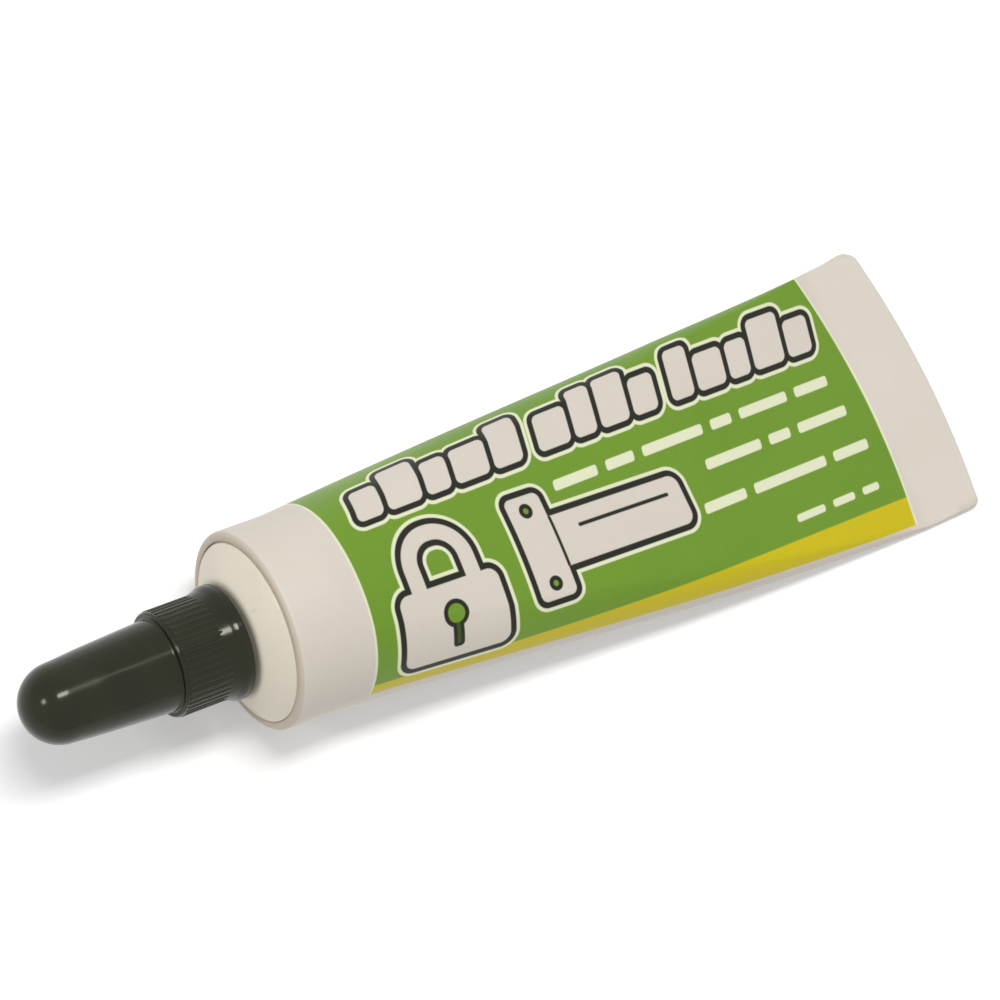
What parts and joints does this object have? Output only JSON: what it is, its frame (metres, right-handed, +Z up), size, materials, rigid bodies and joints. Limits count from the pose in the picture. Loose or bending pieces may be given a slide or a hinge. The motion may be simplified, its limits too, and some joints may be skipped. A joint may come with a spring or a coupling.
{
  "type": "graphite lock lubricant tube",
  "caption": "Small plastic squeeze tube of powdered graphite, round at the shoulder and sealed flat at the tail, with a nozzle under a ribbed screw cap.",
  "frame": {"origin": "on the surface the tube lies on, under the middle of its box", "axes": "+X along the tube towards the flat sealed tail, +Z up out of the printed face, cap towards -X"},
  "size_m": [0.0853, 0.0246, 0.0164],
  "materials": {
    "printed_sleeve": "satin extruded LDPE with a printed green panel",
    "moulded_head": "satin moulded LDPE",
    "black_cap": "glossy moulded polypropylene",
    "soft_disc": "soft matt foam",
    "graphite": "loose dark grey powder with a faint metallic sheen"
  },
  "bodies": {
    "tube": {"tube_sleeve": "printed_sleeve", "shoulder_head": "moulded_head", "graphite_powder": "graphite"},
    "disc": {"sealing_disc": "soft_disc"},
    "cap": {"cap": "black_cap"}
  },
  "joints": [
    {"name": "cap_lift", "type": "slide", "parent": "tube", "child": "disc", "axis": [-0.991, 0, 0.1336], "range_m": [0, 0.02]},
    {"name": "cap_turn", "type": "hinge", "parent": "disc", "child": "cap", "pos_m": [-0.02342, 0, 0.00853], "axis": [-0.991, 0, 0.1336], "range_deg": [0, 3600]}
  ],
  "couplings": [
    {"joint": "cap_turn", "follows": "cap_lift", "rad_per_m": 3141.6}
  ]
}
